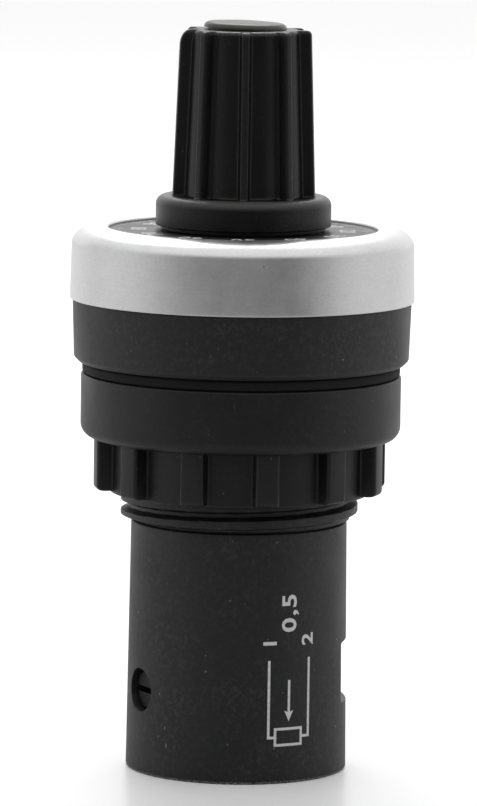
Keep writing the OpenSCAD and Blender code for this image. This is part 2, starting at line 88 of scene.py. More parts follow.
def fillets(corners, steps=6, closed=True):
    # corners are (r, z, fillet); each fillet is the arc that touches both sides of its corner
    pts = []
    count = len(corners)
    for i, (r, z, f) in enumerate(corners):
        here = np.array([r, z])
        if f <= 0 or (not closed and i in (0, count - 1)):
            pts.append(here)
            continue
        a = np.array(corners[i - 1][:2]) - here
        b = np.array(corners[(i + 1) % count][:2]) - here
        a /= np.linalg.norm(a)
        b /= np.linalg.norm(b)
        half = math.acos(np.clip(a @ b, -1, 1)) / 2
        along = f / math.tan(half)
        centre = here + (a + b) / np.linalg.norm(a + b) * f / math.sin(half)
        start = here + a * along - centre
        end = here + b * along - centre
        t = np.linspace(0, 1, steps + 1)[:, None]
        w = math.pi - 2 * half
        pts.extend(centre + (np.sin((1 - t) * w) * start + np.sin(t * w) * end) / math.sin(w))
    return np.array(pts)


def stretch(a, b, count):
    # points between two points, both left out
    t = np.linspace(0, 1, count + 2)[1:-1, None]
    return np.array(a) * (1 - t) + np.array(b) * t


def ringMesh(name, r, z, angles, closed=True):
    # a profile turned about Z: x = r cos a, y = r sin a; r and z are one row for each profile point
    rows = len(r)
    cols = angles.shape[-1]
    r = np.broadcast_to(np.asarray(r).reshape(rows, -1), (rows, cols))
    z = np.broadcast_to(np.asarray(z).reshape(rows, -1), (rows, cols))
    pts = np.stack([r * np.cos(angles), r * np.sin(angles), z], -1).reshape(-1, 3) * mm
    i = np.arange(rows if closed else rows - 1)[:, None]
    j = np.arange(cols)[None, :]
    up = (i + 1) % rows * cols
    on = (j + 1) % cols
    quads = np.stack([i * cols + j, i * cols + on, up + on, up + j], -1).reshape(-1, 4)
    return solidFrom(name, pts, quads)


def solidFrom(name, pts, faces, merge=1e-8):
    mesh = bpy.data.meshes.new(name)
    mesh.from_pydata(pts.tolist(), [], faces.tolist())
    bm = bmesh.new()
    bm.from_mesh(mesh)
    bmesh.ops.remove_doubles(bm, verts=bm.verts, dist=merge)
    bmesh.ops.dissolve_degenerate(bm, edges=bm.edges, dist=merge)
    bm.to_mesh(mesh)
    bm.free()
    obj = bpy.data.objects.new(name, mesh)
    bpy.context.collection.objects.link(obj)
    return obj


def moved(obj, change):
    # change takes the columns x, y and z of all points in metres and gives their new places
    pts = np.empty(len(obj.data.vertices) * 3)
    obj.data.vertices.foreach_get("co", pts)
    pts = np.stack(change(*pts.reshape(-1, 3).T), -1)
    obj.data.vertices.foreach_set("co", pts.ravel())


def turnOutward(obj):
    bm = bmesh.new()
    bm.from_mesh(obj.data)
    bmesh.ops.recalc_face_normals(bm, faces=bm.faces)
    bm.to_mesh(obj.data)
    bm.free()


def shade(obj, degrees=35):
    # smooth, but sharp where two faces meet at more than this angle
    obj.data.shade_smooth()
    obj.data.set_sharp_from_angle(angle=math.radians(degrees))


def evenAngles(count):
    return np.arange(count) * turn / count


def dress(obj, material, body, slot, *nodes):
    obj.data.materials.clear()
    obj.data.materials.append(material)
    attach(obj, body)
    if nodes:
        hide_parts(*nodes)
    return obj


def cutAway(obj, cutters):
    # takes the cutters out of obj with an exact boolean, applied to its mesh
    for cutter in cutters:
        mod = obj.modifiers.new("cut", "BOOLEAN")
        mod.operation = "DIFFERENCE"
        mod.solver = "EXACT"
        mod.object = cutter
    bpy.context.view_layer.update()
    found = obj.evaluated_get(bpy.context.evaluated_depsgraph_get())
    mesh = bpy.data.meshes.new_from_object(found)
    obj.modifiers.clear()
    obj.data = mesh
    for cutter in cutters:
        bpy.data.objects.remove(cutter)


# Materials

def nodeTree(tree):
    def add(kind, inputs=None, **settings):
        n = tree.nodes.new(kind)
        for key, value in settings.items():
            setattr(n, key, value)
        for key, value in (inputs or {}).items():
            if isinstance(value, bpy.types.NodeSocket):
                tree.links.new(value, n.inputs[key])
            else:
                n.inputs[key].default_value = value
        return n
    return add


def makeGroup(name, ins, outs, build):
    tree = bpy.data.node_groups.new(name, "ShaderNodeTree")
    for label, kind, value in ins:
        s = tree.interface.new_socket(label, in_out="INPUT", socket_type=kind)
        if value is not None:
            s.default_value = value
    for label, kind in outs:
        tree.interface.new_socket(label, in_out="OUTPUT", socket_type=kind)
    add = nodeTree(tree)
    source = add("NodeGroupInput")
    sink = add("NodeGroupOutput")
    for label, socket in build(add, source.outputs).items():
        tree.links.new(socket, sink.inputs[label])
    return tree


def ramp(add, value, start, end, toLow=0.0, toHigh=1.0):
    return add("ShaderNodeMapRange", {"Value": value, "From Min": start, "From Max": end,
                                      "To Min": toLow, "To Max": toHigh}).outputs[0]


def calc(add, operation, a, b):
    return add("ShaderNodeMath", {0: a, 1: b}, operation=operation).outputs[0]


def mulAdd(add, a, b, c):
    return add("ShaderNodeMath", {0: a, 1: b, 2: c}, operation="MULTIPLY_ADD").outputs[0]


def noise(add, at, scale, detail, rough=0.5):
    return add("ShaderNodeTexNoise", {"Vector": at, "Scale": scale, "Detail": detail,
                                      "Roughness": rough}).outputs[0]


def handledBuild(add, ins):
    # fine moulded grain, dust lying in soft patches, tiny specks and short flecks
    place = ins["Vector"]
    grain = noise(add, place, ins["Grain Scale"], 3.0, 0.6)
    patch = noise(add, place, 210.0, 2.0)
    where = ramp(add, patch, 0.44, 0.66)
    fine = noise(add, place, 2100.0, 4.0, 0.7)
    dust = calc(add, "MULTIPLY", ramp(add, fine, 0.47, 0.67), mulAdd(add, where, 0.7, 0.3))
    cells = add("ShaderNodeTexVoronoi", {"Vector": place, "Scale": ins["Speck Scale"]})
    pick = add("ShaderNodeSeparateColor", {"Color": cells.outputs["Color"]}).outputs[0]
    dot = ramp(add, cells.outputs["Distance"], 0.17, 0.05)
    speck = calc(add, "MULTIPLY", ramp(add, pick, 0.91, 0.97), dot)
    slant = add("ShaderNodeMapping", {"Vector": place, "Rotation": (0.9, 0.9, 0.2),
                                      "Scale": (1.0, 1.0, 0.4)}).outputs[0]
    fleck = noise(add, slant, 2900.0, 1.0)
    line = calc(add, "MULTIPLY", ramp(add, fleck, 0.76, 0.84), where)
    return {"Grain": grain, "Dust": dust, "Patches": patch, "Specks": calc(add, "MAXIMUM", speck, line)}


handled = makeGroup("handledPlastic",
                    [("Vector", "NodeSocketVector", None), ("Grain Scale", "NodeSocketFloat", 5200.0),
                     ("Speck Scale", "NodeSocketFloat", 1500.0)],
                    [("Grain", "NodeSocketFloat"), ("Dust", "NodeSocketFloat"),
                     ("Patches", "NodeSocketFloat"), ("Specks", "NodeSocketFloat")], handledBuild)


def newMaterial(name):
    mat = bpy.data.materials.new(name)
    mat.use_nodes = True
    tree = mat.node_tree
    add = nodeTree(tree)
    shader = tree.nodes["Principled BSDF"]
    place = add("ShaderNodeTexCoord").outputs["Object"]
    return mat, tree, add, shader, place


def toned(add, colour, tone, amount, over):
    # a colour times a grey tone, with another colour laid over it by an amount
    base = add("ShaderNodeMix", {"Factor": 1.0, "A": (*colour, 1), "B": tone}, data_type="RGBA",
               blend_type="MULTIPLY")
    return add("ShaderNodeMix", {"Factor": amount, "A": base.outputs["Result"], "B": (*over, 1)},
               data_type="RGBA").outputs["Result"]


def linkSurface(tree, add, shader, colour, rough, depth, height):
    # colour and roughness that change over the piece, and a bump whose depth is in mm
    tree.links.new(colour, shader.inputs["Base Color"])
    tree.links.new(rough, shader.inputs["Roughness"])
    bump = add("ShaderNodeBump", {"Strength": 1.0, "Distance": depth * mm, "Height": height})
    tree.links.new(bump.outputs[0], shader.inputs["Normal"])


def mouldedPlastic(name, colour, roughness, speckColour, speckAmount, grainDepth, specular=0.5, dust=0.0,
                   tipsAndPaintedLight=None):
    # dust is how much of the speck colour the dust adds; the last argument, called with (add, place, grain),
    # adds more of it: pale rib tips, painted highlight on the knob's edges and a painted reflection along
    # the housing's foot
    mat, tree, add, shader, place = newMaterial(name)
    wear = add("ShaderNodeGroup", {"Vector": place}, node_tree=handled)
    grain = wear.outputs["Grain"]
    specks = calc(add, "MULTIPLY", wear.outputs["Specks"], speckAmount)
    amount = mulAdd(add, wear.outputs["Dust"], dust, specks)
    if tipsAndPaintedLight:
        amount = add("ShaderNodeMath", {0: amount, 1: tipsAndPaintedLight(add, place, grain)}, operation="ADD",
                     use_clamp=True).outputs[0]
    rough = ramp(add, wear.outputs["Patches"], 0.3, 0.7, roughness - 0.04, roughness + 0.06)
    tone = ramp(add, grain, 0.3, 0.7, 0.86, 1.14)
    speckled = toned(add, colour, tone, amount, speckColour)
    linkSurface(tree, add, shader, speckled, rough, grainDepth, grain)
    shader.inputs["Specular IOR Level"].default_value = specular
    return mat


def radiusOf(add, place):
    flat = add("ShaderNodeVectorMath", {0: place, 1: (1, 1, 0)}, operation="MULTIPLY").outputs[0]
    return add("ShaderNodeVectorMath", {0: flat}, operation="LENGTH").outputs["Value"]


def heightOf(add, place):
    return add("ShaderNodeSeparateXYZ", {"Vector": place}).outputs[2]


def band(add, value, limits):
    # 0 at the first length and 1 at the second, both in mm
    return ramp(add, value, limits[0] * mm, limits[1] * mm)


# paler places on the black mouldings: faint on the rib tips, painted highlight on the knob's skirt edge and
# top edge, and a painted reflection of the table along the housing's foot; heights z and radii r in mm, and
# how pale each place is
tipsAndPaintedLightAt = {
    "gripZ": (50.0, 64.4), "gripR": (6.27, 5.75), "tipDepth": (0.3, 0.05), "tipZ": (50.0, 50.2),
    "skirtZ": (49.4, 50.1), "skirtR": (6.4, 6.8), "skirtPale": 0.24,
    "endZ": (64.2, 64.55), "endPale": 0.16, "tipPale": 0.06, "tipLeast": 0.006,
    "standZ": (0.28, 0.12), "standR": (9.3, 9.4), "standPale": (0.1, 0.9),
}


def knobTipsAndPaintedHighlight(add, place, grain):
    # faintly paler rib tips, and painted highlight, stronger, on the skirt's upper edge and on the grip's
    # top edge
    s = tipsAndPaintedLightAt
    z = heightOf(add, place)
    r = radiusOf(add, place)
    tipR = ramp(add, z, s["gripZ"][0] * mm, s["gripZ"][1] * mm, s["gripR"][0] * mm, s["gripR"][1] * mm)
    under = calc(add, "SUBTRACT", tipR, r)
    tips = calc(add, "MULTIPLY", band(add, under, s["tipDepth"]), band(add, z, s["tipZ"]))
    # painted highlight: the skirt's rounded upper edge and the grip's top edge are made paler
    skirt = calc(add, "MULTIPLY", band(add, z, s["skirtZ"]), band(add, r, s["skirtR"]))
    ends = calc(add, "MULTIPLY", band(add, z, s["endZ"]), ramp(add, grain, 0.4, 0.56))
    edges = calc(add, "MAXIMUM", calc(add, "MULTIPLY", skirt, s["skirtPale"]),
                 calc(add, "MULTIPLY", ends, s["endPale"]))
    return mulAdd(add, tips, mulAdd(add, grain, s["tipPale"], s["tipLeast"]), edges)


def footPaintedReflection(add, place, grain):
    # painted reflection of the table: a pale line along the edge that the housing stands on
    edge = calc(add, "MULTIPLY", band(add, heightOf(add, place), tipsAndPaintedLightAt["standZ"]),
                band(add, radiusOf(add, place), tipsAndPaintedLightAt["standR"]))
    return calc(add, "MULTIPLY", edge, ramp(add, grain, 0.42, 0.6, *tipsAndPaintedLightAt["standPale"]))


def turnedMetal(name, colour, roughness, streak, grainDepth, marks=0.0):
    # satin metal: faint streaks that run round Z, a fine grain, soft clouds and a few dark marks
    mat, tree, add, shader, place = newMaterial(name)
    flat = add("ShaderNodeSeparateXYZ", {"Vector": place})
    angle = calc(add, "ARCTAN2", flat.outputs[1], flat.outputs[0])
    along = calc(add, "MULTIPLY", angle, 0.0009)
    spread = add("ShaderNodeCombineXYZ", {"X": along, "Y": radiusOf(add, place),
                                          "Z": flat.outputs[2]}).outputs[0]
    lines = noise(add, spread, 9000.0, 4.0, 0.7)
    cloud = noise(add, place, 330.0, 4.0, 0.65)
    both = mulAdd(add, lines, 0.35, calc(add, "MULTIPLY", noise(add, place, 5200.0, 3.0), 0.65))
    tone = calc(add, "MULTIPLY", ramp(add, both, 0.35, 0.65, 1 - streak, 1.0),
                ramp(add, cloud, 0.3, 0.7, 0.93, 1.0))
    spots = add("ShaderNodeGroup", {"Vector": place, "Speck Scale": 1100.0}, node_tree=handled)
    near = calc(add, "MULTIPLY", spots.outputs["Specks"], ramp(add, cloud, 0.5, 0.62))
    marked = toned(add, colour, tone, calc(add, "MULTIPLY", near, marks), (0.12, 0.11, 0.1))
    rough = ramp(add, cloud, 0.3, 0.7, roughness - 0.04, roughness + 0.05)
    linkSurface(tree, add, shader, marked, rough, grainDepth, both)
    shader.inputs["Metallic"].default_value = 1.0
    return mat


# plastics: colour, roughness, speck colour, speck amount, grain depth in mm, specular, dust, pale rib tips
# and painted light
plastics = {
    # the knob's last column adds pale rib tips and painted highlight on its skirt edge and top edge
    "knobBlack": ((0.0012, 0.0012, 0.0013), 0.34, (0.25, 0.25, 0.24), 0.3, 0.03, 0.36, 0.005, knobTipsAndPaintedHighlight),
    "capGrey": ((0.05, 0.047, 0.038), 0.34, (0.3, 0.3, 0.28), 0.3, 0.01, 0.5, 0.06),
    # the housing's last column adds a painted reflection of the table along its foot
    "bodyBlack": ((0.007, 0.0075, 0.008), 0.46, (0.34, 0.335, 0.32), 0.5, 0.014, 0.5, 0.075, footPaintedReflection),
    "nutBlack": ((0.003, 0.0032, 0.0034), 0.42, (0.3, 0.3, 0.3), 0.45, 0.014, 0.45, 0.025),
    "insertBlack": ((0.02, 0.02, 0.021), 0.5, (0.2, 0.2, 0.2), 0.3, 0.008),
    "rotorCream": ((0.68, 0.63, 0.5), 0.45, (0.4, 0.36, 0.28), 0.3, 0.004),
    "boardBrown": ((0.3, 0.16, 0.06), 0.42, (0.15, 0.08, 0.03), 0.4, 0.004),
    "trackCarbon": ((0.015, 0.015, 0.016), 0.35, (0.1, 0.1, 0.1), 0.2, 0.002),
    "wireSkin": ((0.45, 0.03, 0.025), 0.32, (0.6, 0.2, 0.2), 0.1, 0.001),
    "gasketRubber": ((0.006, 0.006, 0.006), 0.72, (0.12, 0.12, 0.12), 0.3, 0.012, 0.3),
    "printWhite": ((0.75, 0.75, 0.75), 0.6, (0.1, 0.1, 0.1), 0.9, 0.002),
    "dialBlack": ((0.02, 0.02, 0.022), 0.38, (0.3, 0.3, 0.3), 0.4, 0.003),
}
# metals: colour, roughness, streaks, grain depth in mm, dark marks
metals = {
    "bezelMetal": ((0.83, 0.83, 0.84), 0.32, 0.1, 0.0035, 0.8),
    "brass": ((0.78, 0.57, 0.25), 0.28, 0.12, 0.002),
    "steel": ((0.66, 0.66, 0.64), 0.3, 0.12, 0.002),
    # near black: painted shade for the terminal screws down in their holes
    "screwPaintedShade": ((0.014, 0.013, 0.011), 0.45, 0.3, 0.006),
}
finishes = {name: mouldedPlastic(name, *values) for name, values in plastics.items()}
finishes.update({name: turnedMetal(name, *values) for name, values in metals.items()})
print("materials made")


# Knob

knobShape = {
    "skirtR": 7.63, "skirtTop": 50.2, "skirtEdge": 0.8, "gripLowR": 6.27, "gripTopR": 5.75, "edge": 0.4,
    "ribs": 9, "tipW": 0.62, "ribW": 1.0, "depth": 0.97, "tipSoft": 0.16, "rootSoft": 0.26, "ribFoot": 0.2,
    "rimR": 7.13, "rimH": 0.33, "recessR": 3.3, "recessFloor": 61.2, "pinR": 2.2, "floorT": 1, "boreR": 3.9,
    "collarR": 4.8, "collarRise": 2.22, "hollowR": 6.4, "hollowRise": 1.3, "bulge": 0.04,
    # one rib's upper corner is rounder: its direction in degrees, radius, half span in radians and share
    "softRib": -170, "softEdge": 1.3, "softSpan": 0.2, "softShare": 0.7,
}


def repeated(half, count, start):
    # half a tooth's plan mirrored and repeated round the circle, as radii and angles
    one = np.concatenate([half[::-1] * [1, -1], half[1:-1]])
    turns = start + np.arange(count)[:, None] * turn / count
    return (np.tile(np.hypot(one[:, 0], one[:, 1]), count),
            (turns + np.arctan2(one[:, 1], one[:, 0])[None, :]).ravel())


def knobSection(s, tipR):
    # plan of the grip: rib tip, fillet, slanted flank, fillet and a groove floor that bulges midway between
    # two ribs by a cosine
    def floorAt(angle):
        return tipR - s["depth"] - s["bulge"] * np.cos(s["ribs"] * angle)

    tip = s["tipW"] / 2
    root = s["ribW"] / 2
    inner = floorAt(root / tipR)
    a = math.asin(root / inner) + 0.3 / inner
    side = fillets([(tipR, 0, 0), (math.sqrt(tipR ** 2 - tip ** 2), tip, s["tipSoft"]),
                    (math.sqrt(inner ** 2 - root ** 2) + 0.02, root, s["rootSoft"]),
                    (floorAt(a) * math.cos(a), floorAt(a) * math.sin(a), 0)], 5, False)
    t = np.linspace(a, math.pi / s["ribs"], 11)[1:]
    half = np.concatenate([side, np.stack([floorAt(t) * np.cos(t), floorAt(t) * np.sin(t)], -1)])
    return repeated(half, s["ribs"], -math.pi / 2)


def makeKnob(s):
    # the outline turned about Z; on the grip the plan goes from its low to its high form, both ends rounded
    foot = seat["skirtFoot"]
    rim = foot + s["rimH"]
    top = seat["knobTop"]
    base = s["skirtTop"]
    floor = s["recessFloor"]
    inside = fillets([(s["recessR"], top, 0.1), (s["recessR"], floor, 0), (s["pinR"], floor, 0),
                      (s["pinR"], floor - s["floorT"], 0), (s["boreR"], floor - s["floorT"], 0),
                      (s["boreR"], rim + s["collarRise"], 0), (s["collarR"], rim + s["collarRise"], 0),
                      (s["collarR"], rim + s["hollowRise"], 0), (s["hollowR"], rim + s["hollowRise"], 0),
                      (s["hollowR"], foot, 0.05)], 3, False)
    skirt = fillets([(s["hollowR"], foot, 0), (s["rimR"], foot, 0.06), (s["rimR"], rim, 0.04),
                     (s["skirtR"], rim, 0.12), (s["skirtR"], base, s["skirtEdge"]),
                     (s["gripLowR"] + 0.25, base, 0)], 8, False)[1:]
    f = s["ribFoot"]
    e = s["edge"]
    soft = top - s["softEdge"]
    gripZ = np.concatenate([base + f * (1 - np.cos(np.linspace(0, math.pi / 2, 5))),
                            np.linspace(base + f, soft, 30)[1:], np.linspace(soft, top - e, 8)[1:-1],
                            top - e + e * np.sin(np.linspace(0, math.pi / 2, 8))])
    lowR, lowA = knobSection(s, s["gripLowR"])
    topR, topA = knobSection(s, s["gripTopR"])
    away = np.abs((topA - math.radians(s["softRib"]) + math.pi) % turn - math.pi)
    isSoft = (away < s["softSpan"])[None, :]
    end = np.where(isSoft, s["softEdge"], e)
    z = gripZ[:, None]
    inset = end - np.sqrt(end ** 2 - np.clip(z - top + end, 0, end) ** 2)
    inset *= np.where(isSoft, s["softShare"], 1.0)
    inset -= f - np.sqrt(f ** 2 - np.clip(base + f - z, 0, f) ** 2)
    t = (z - base) / (top - base)
    cols = len(lowR)
    r = np.concatenate([np.repeat(skirt[:, :1], cols, 1), lowR * (1 - t) + topR * t - inset,
                        np.repeat(inside[:, :1], cols, 1)])
    angles = np.concatenate([np.repeat(lowA[None, :], len(skirt), 0), lowA * (1 - t) + topA * t,
                             np.repeat(topA[None, :], len(inside), 0)])
    obj = ringMesh("knobBody", r, np.concatenate([skirt[:, 1], gripZ, inside[:, 1]]), angles)
    shade(obj, 40)
    return obj


dress(makeKnob(knobShape), finishes["knobBlack"], "rotor", "knob_black", "knob")

capShape = {
    "footR": 3.6, "neckR": 3.25, "neck": 0.17, "height": 0.75, "edge": 0.5, "crown": 0.12, "lean": 1.6,
    "shift": -0.06, "plugR": 3.22, "plug": 1.35,
}


def makeCap(s):
    # turned outline, leaned a little about Y
    top = seat["knobTop"]
    crown = top + s["height"]
    neck = top + s["neck"]
    rows = fillets([(0, top - s["plug"], 0), (s["plugR"], top - s["plug"], 0.1), (s["plugR"], top, 0),
                    (s["neckR"], top, 0.01), (s["neckR"], neck, 0.03), (s["footR"], neck, 0.06),
                    (s["footR"] - 0.02, crown - 0.06 - s["crown"], s["edge"]),
                    (1.8, crown - 0.03 - 0.2 * s["crown"], 1), (0, crown - 0.03, 0)], 7, False)
    obj = ringMesh("knobCap", rows[:, 0], rows[:, 1], evenAngles(160), False)
    lean = math.radians(s["lean"])
    pivot = top * mm

    def leaned(x, y, z):
        h = z - pivot
        up = pivot - x * math.sin(lean) + h * math.cos(lean)
        return x * math.cos(lean) + h * math.sin(lean) + s["shift"] * mm, y, np.minimum(up, cadBox[1][2])
    moved(obj, leaned)
    shade(obj, 40)
    return obj


dress(makeCap(capShape), finishes["capGrey"], "rotor", "cap_grey", "knob_cap")
print("knob made")


# Bezel and dial

bezelShape = {
    "footR": 15.0, "taper": 0.12, "wall": 0.5, "shoulderW": 2.3, "shoulderH": 1.5, "openingR": 11.72,
    "lipDrop": 0.05,
}


def makeBezel(s):
    # wall, quarter of an ellipse for the shoulder, crest, lip and the same curve inside, turned about Z
    foot = seat["bezelFoot"]
    crest = seat["crest"]
    dial = seat["dial"]
    wallR = s["footR"] - s["taper"]
    crestR = wallR - s["shoulderW"]
    shoulder = crest - s["shoulderH"]
    t = np.linspace(0, math.pi / 2, 28)
    outer = np.stack([crestR + s["shoulderW"] * np.cos(t), shoulder + s["shoulderH"] * np.sin(t)], -1)
    lip = fillets([(crestR, crest, 0), (s["openingR"], crest - s["lipDrop"], 0.16),
                   (s["openingR"], dial, 0.03), (crestR, dial, 0)], 6, False)[1:]
    t = t[::-1][1:]
    inner = np.stack([crestR + (s["shoulderW"] - s["wall"]) * np.cos(t),
                      shoulder + (dial - shoulder) * np.sin(t)], -1)
    foots = fillets([(wallR - s["wall"], shoulder, 0), (s["footR"] - s["wall"], foot, 0.04),
                     (s["footR"], foot, 0.1), (wallR, shoulder, 0)], 5, False)[1:-1]
    wall = stretch(foots[-1], outer[0], 12)
    rows = np.concatenate([foots, wall, outer, lip, inner])
    obj = ringMesh("bezelRing", rows[:, 0], rows[:, 1], evenAngles(288))
    shade(obj, 40)
    return obj


dress(makeBezel(bezelShape), finishes["bezelMetal"], "base", "bezel_metal", "bezel")

dialShape = {
    "outR": 12.6, "holeR": 6.3, "softs": (0, 0.05, 0.05, 0.05), "tickIn": 10.35, "minorIn": 10.65,
    "tickOut": 11.3, "tickW": 0.16, "minorW": 0.09, "span": 300, "majors": 11, "minors": 5,
    "figureR": 9.0, "figureH": 1.4, "raise": 0.012,
}


def flatRing(name, inR, outR, foot, top, softs, steps):
    # an oblong turned about Z, with a fillet for each corner from the inner foot round by the outer ones
    corners = [(inR, foot), (outR, foot), (outR, top), (inR, top)]
    rows = fillets([(r, z, f) for (r, z), f in zip(corners, softs)], steps)
    obj = ringMesh(name, rows[:, 0], rows[:, 1], evenAngles(192))
    shade(obj)
    return obj


def stripOn(surface, across, along, depth):
    # thin closed box on a surface: surface(u, v, height) gives points for grids of u and v in mm
    u, v = np.meshgrid(across, along)
    upper = np.stack(surface(u, v, depth), -1).reshape(-1, 3)
    lower = np.stack(surface(u, v, 0.0), -1).reshape(-1, 3)
    rows, cols = u.shape
    i = np.arange(rows - 1)[:, None]
    j = np.arange(cols - 1)[None, :]
    a = (i * cols + j).ravel()
    top = np.stack([a, a + 1, a + cols + 1, a + cols], -1)
    n = rows * cols
    bottom = top[:, ::-1] + n
    edge = np.concatenate([np.arange(cols), np.arange(2, rows + 1) * cols - 1,
                           np.arange(n - 2, n - cols - 1, -1), np.arange(rows - 2, 0, -1) * cols])
    after = np.roll(edge, -1)
    side = np.stack([edge + n, after + n, after, edge], -1)
    return np.concatenate([upper, lower]) * mm, np.concatenate([top, bottom, side])


def joined(name, parts):
    # one mesh from lists of points and triangles
    pts = []
    faces = []
    count = 0
    for p, f in parts:
        pts.append(p)
        faces.append(f + count)
        count += len(p)
    return solidFrom(name, np.concatenate(pts), np.concatenate(faces), 1e-9)


sunk = 0.004    # how deep the print's underside lies in its surface, in mm


def dialMark(s, degrees, inner, outer, width):
    # a straight mark along a radius of the dial
    a = math.radians(degrees)

    def surface(u, v, h):
        return (v * math.cos(a) - u * math.sin(a), v * math.sin(a) + u * math.cos(a),
                seat["dial"] - sunk + h + 0 * u)
    return stripOn(surface, np.array([width / 2, -width / 2]), np.array([inner, outer]), s["raise"] + sunk)


def figures(text, height, name, bold=0.022):
    # plain figures as a flat mesh in mm, centred, with short edges so that they can be wrapped
    curve = bpy.data.curves.new(name, "FONT")
    curve.body = text
    curve.align_x = "CENTER"
    curve.align_y = "CENTER"
    curve.size = height * 1.4
    curve.offset = height * bold
    curve.space_character = 1.12
    curve.resolution_u = 3
    maker = bpy.data.objects.new(name, curve)
    bpy.context.collection.objects.link(maker)
    bpy.context.view_layer.update()
    mesh = bpy.data.meshes.new_from_object(maker.evaluated_get(bpy.context.evaluated_depsgraph_get()))
    bpy.data.objects.remove(maker)
    bm = bmesh.new()
    bm.from_mesh(mesh)
    bmesh.ops.remove_doubles(bm, verts=bm.verts, dist=1e-4)
    bmesh.ops.triangulate(bm, faces=bm.faces)
    for _ in range(4):
        long = [e for e in bm.edges if e.calc_length() > 0.35]
        if not long:
            break
        bmesh.ops.subdivide_edges(bm, edges=long, cuts=1)
        bmesh.ops.triangulate(bm, faces=bm.faces)
    pts = np.array([v.co for v in bm.verts])[:, :2]
    faces = np.array([[v.index for v in f.verts] for f in bm.faces])
    edges = [[l.vert.index for l in (e.link_loops[0], e.link_loops[0].link_loop_next)]
             for e in bm.edges if e.is_boundary]
    bm.free()
    bpy.data.meshes.remove(mesh)
    return pts, faces, np.array(edges)


def figureFrom(outline):
    # a flat four-sided figure with a notch, as two triangles
    return outline, np.array([[0, 1, 2], [0, 2, 3]]), np.array([[0, 1], [1, 2], [2, 3], [3, 0]])


def raised(shape, surface, depth):
    # the flat figures given a thin wall on a surface
    pts, faces, edges = shape
    upper = np.stack(surface(pts[:, 0], pts[:, 1], depth), -1)
    lower = np.stack(surface(pts[:, 0], pts[:, 1], 0.0), -1)
    n = len(pts)
    both = np.concatenate([upper, lower]) * mm
    side = np.stack([edges[:, 1], edges[:, 0], edges[:, 0] + n, edges[:, 1] + n], -1)
    tris = np.concatenate([faces, faces[:, ::-1] + n])
    tris = np.concatenate([tris, side[:, [0, 1, 2]], side[:, [0, 2, 3]]])
    return both, tris


def asTriangles(part):
    pts, faces = part
    if faces.shape[1] == 3:
        return part
    return pts, np.concatenate([faces[:, [0, 1, 2]], faces[:, [0, 2, 3]]])


def makeDialMarks(s):
    # scale over the knob's travel, its middle at the front
    parts = []
    steps = (s["majors"] - 1) * s["minors"]
    for i in range(steps + 1):
        degrees = 90 - (360 - s["span"]) / 2 - s["span"] * i / steps
        major = i % s["minors"] == 0
        start = s["tickIn"] if major else s["minorIn"]
        width = s["tickW"] if major else s["minorW"]
        parts.append(asTriangles(dialMark(s, degrees, start, s["tickOut"], width)))
        if major:
            a = math.radians(degrees)
            spin = a - math.pi / 2
            cx = s["figureR"] * math.cos(a)
            cy = s["figureR"] * math.sin(a)

            def surface(u, v, h, spin=spin, cx=cx, cy=cy):
                return (cx + u * math.cos(spin) - v * math.sin(spin),
                        cy + u * math.sin(spin) + v * math.cos(spin), seat["dial"] - sunk + h + 0 * u)
            shape = figures(str(10 * i // s["minors"]), s["figureH"], "dialFigure")
            parts.append(raised(shape, surface, s["raise"] + sunk))
    return joined("dialMarks", parts)


dialDisc = flatRing("dialDisc", dialShape["holeR"], dialShape["outR"], seat["deck"], seat["dial"],
                    dialShape["softs"], 3)
dress(dialDisc, finishes["dialBlack"], "base", "dial_metal", "dial_plate")
dress(makeDialMarks(dialShape), finishes["printWhite"], "base", "dial_metal")
print("bezel and dial made")


# Barrel: housing, thread, head flange and deck in one

barrelShape = {
    "footR": 9.65, "topR": 9.42, "inR": 8.2, "houseTop": 21.8, "reliefR": 9.0, "threadFoot": 22.05,
    "rootR": 9.62, "crestR": 10.35, "pitch": 1.5, "crestAt": 22.7, "ridge": 0.62, "flank": 0.32,
    "flangeLowR": 14.59, "flangeTopR": 14.75, "chamfer": 0.45, "headR": (14.45, 14.33, 13.45), "headDrop": 2,
    "boreR": 3.56, "deckT": 1.48, "insideFoot": 1, "columns": 320,
}
holeShape = {"turns": (-152, 118, 33), "height": 7.3, "radius": 1.85, "flare": 0.12, "from": 6.5}
# the window's flare is given as pairs of radius and growth
windowShape = {
    "width": 5.8, "height": 5.2, "foot": 6.2, "corner": 0.25,
    "flare": ((6.5, 0.0), (8.85, 0.0), (9.4, 0.1), (11, 0.6)),
}


def threadOut(s, angles, z):
    # right-handed ridge with a flat crest: 0 at the root, 1 at the crest
    front = -math.pi / 2
    phase = (z - s["crestAt"]) / s["pitch"] - (angles - front) / turn
    away = np.abs((phase + 0.5) % 1 - 0.5) * s["pitch"]
    ridge = np.clip((s["ridge"] - away) / s["flank"], 0, 1)
    ridge = ridge * ridge * (3 - 2 * ridge)
    ends = np.clip((z - s["threadFoot"]) / 0.25, 0, 1) * np.clip((seat["flange"] - z) / 0.3, 0, 1)
    return ridge * ends


